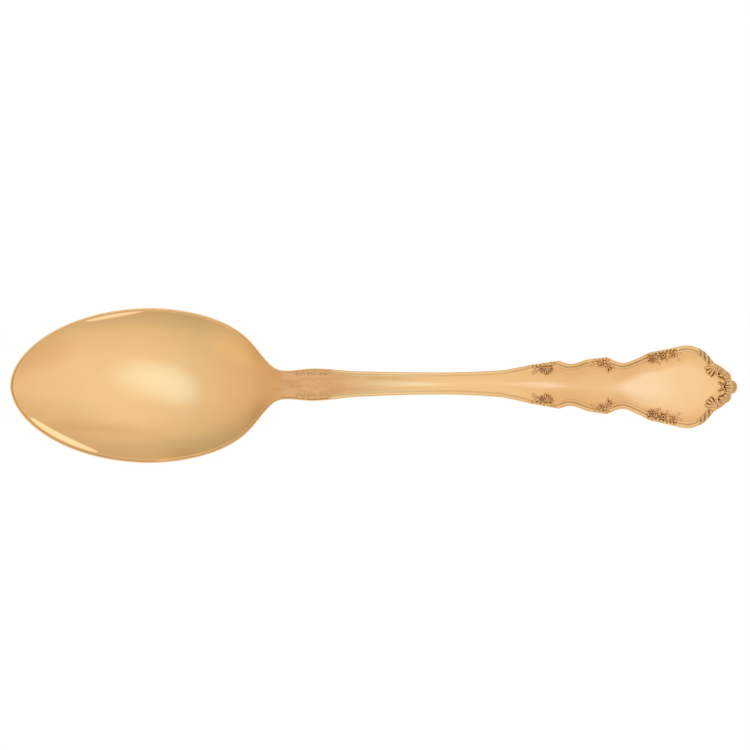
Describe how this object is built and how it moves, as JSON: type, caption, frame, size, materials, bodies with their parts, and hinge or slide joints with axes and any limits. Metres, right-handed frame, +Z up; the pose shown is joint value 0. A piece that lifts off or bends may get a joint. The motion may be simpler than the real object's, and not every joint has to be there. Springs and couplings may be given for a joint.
{
  "type": "soup spoon",
  "caption": "Gilt oval soup spoon with an egg-shaped bowl, a slim arched stem and a scalloped handle end edged with flower sprays, border rails and a leafy crest.",
  "frame": {"origin": "middle of the spoon's box, on the table that it lies on", "axes": "+X along the spoon from the bowl to the handle's end, +Y to the right of the person holding it, +Z up out of the bowl"},
  "size_m": [0.185, 0.0394, 0.0208],
  "materials": {
    "polished_gilt": "gold plate on a brass base, polished bright",
    "struck_gilt": "gold plate over struck relief, darker in the crevices",
    "moulded_gilt": "gold plate on half-round border moulding, bright on its crown"
  },
  "bodies": {
    "root": {"bowl": "polished_gilt", "handle": "polished_gilt", "neck_spray_left": "struck_gilt", "neck_spray_right": "struck_gilt", "lower_rose_spray_left": "struck_gilt", "lower_rose_spray_right": "struck_gilt", "middle_rose_spray_left": "struck_gilt", "middle_rose_spray_right": "struck_gilt", "upper_rose_spray_left": "struck_gilt", "upper_rose_spray_right": "struck_gilt", "stem_thread_left": "moulded_gilt", "stem_thread_right": "moulded_gilt", "lower_rail_left": "moulded_gilt", "lower_rail_right": "moulded_gilt", "middle_rail_left": "moulded_gilt", "middle_rail_right": "moulded_gilt", "upper_rail_left": "moulded_gilt", "upper_rail_right": "moulded_gilt", "crest_leaf_left": "struck_gilt", "crest_leaf_right": "struck_gilt", "crest_bud_left": "struck_gilt", "crest_bud_right": "struck_gilt", "crest_shell": "struck_gilt", "finial": "moulded_gilt"}
  },
  "joints": []
}
